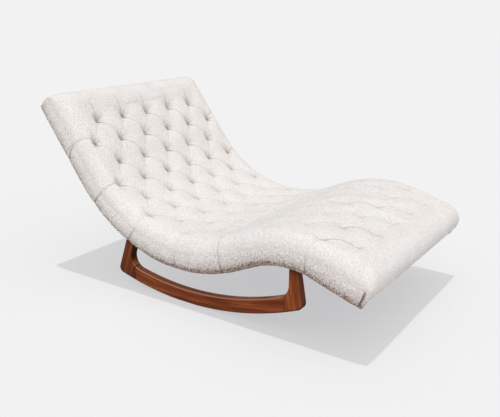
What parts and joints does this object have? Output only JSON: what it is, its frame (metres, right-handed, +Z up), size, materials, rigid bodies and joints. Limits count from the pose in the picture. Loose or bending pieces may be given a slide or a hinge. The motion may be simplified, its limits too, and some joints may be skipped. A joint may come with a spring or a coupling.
{
  "type": "rocking chaise lounge",
  "caption": "Wave-shaped, armless, button-tufted chaise lounge, wide enough for two, with a nubby boucle cover, on a pair of curved walnut rockers.",
  "frame": {"origin": "middle of the footprint box, on the floor", "axes": "+X from the head end to the foot end, +Y to the left of someone lying on it, +Z up"},
  "size_m": [1.5444, 0.903, 0.7838],
  "materials": {
    "boucle": "nubby off-white boucle with small brown-grey flecks",
    "walnut": "satin oiled walnut, reddish brown, grain along each member",
    "plywood": "raw birch plywood",
    "rail_wood": "planed raw timber",
    "dowel_wood": "beech dowel",
    "steel": "zinc plated steel",
    "webbing": "woven jute webbing",
    "foam": "upholstery foam",
    "cambric": "black non-woven dust cover cloth"
  },
  "bodies": {
    "root": {"tufted_cover": "boucle", "foam_slab": "foam", "webbing_strap_01": "webbing", "webbing_strap_02": "webbing", "webbing_strap_03": "webbing", "webbing_strap_04": "webbing", "webbing_strap_05": "webbing", "webbing_strap_06": "webbing", "webbing_strap_07": "webbing", "webbing_strap_08": "webbing", "webbing_strap_09": "webbing", "webbing_strap_10": "webbing", "webbing_strap_11": "webbing", "webbing_strap_12": "webbing", "webbing_strap_13": "webbing", "webbing_strap_14": "webbing", "webbing_strap_15": "webbing", "head_rail": "rail_wood", "back_rail": "rail_wood", "seat_rail": "rail_wood", "foot_rail": "rail_wood", "head_rail_screw_left": "steel", "head_rail_screw_right": "steel", "back_rail_screw_left": "steel", "back_rail_screw_right": "steel", "seat_rail_screw_left": "steel", "seat_rail_screw_right": "steel", "foot_rail_screw_left": "steel", "foot_rail_screw_right": "steel", "rear_leg_board": "rail_wood", "front_leg_board": "rail_wood", "rear_leg_board_screw_left": "steel", "rear_leg_board_screw_right": "steel", "front_leg_board_screw_left": "steel", "front_leg_board_screw_right": "steel", "rear_leg_board_bolt_left_outer": "steel", "rear_leg_board_bolt_left_inner": "steel", "rear_leg_board_bolt_right_outer": "steel", "rear_leg_board_bolt_right_inner": "steel", "front_leg_board_bolt_left_outer": "steel", "front_leg_board_bolt_left_inner": "steel", "front_leg_board_bolt_right_outer": "steel", "front_leg_board_bolt_right_inner": "steel", "side_rail_left": "plywood", "side_rail_right": "plywood", "dust_cover": "cambric", "rear_dowel_left_upper": "dowel_wood", "rear_dowel_left_lower": "dowel_wood", "rear_dowel_right_upper": "dowel_wood", "rear_dowel_right_lower": "dowel_wood", "front_dowel_left_upper": "dowel_wood", "front_dowel_left_lower": "dowel_wood", "front_dowel_right_upper": "dowel_wood", "front_dowel_right_lower": "dowel_wood", "rear_post_left": "walnut", "rear_post_right": "walnut", "runner_left": "walnut", "runner_right": "walnut", "front_post_left": "walnut", "front_post_right": "walnut"}
  },
  "joints": []
}
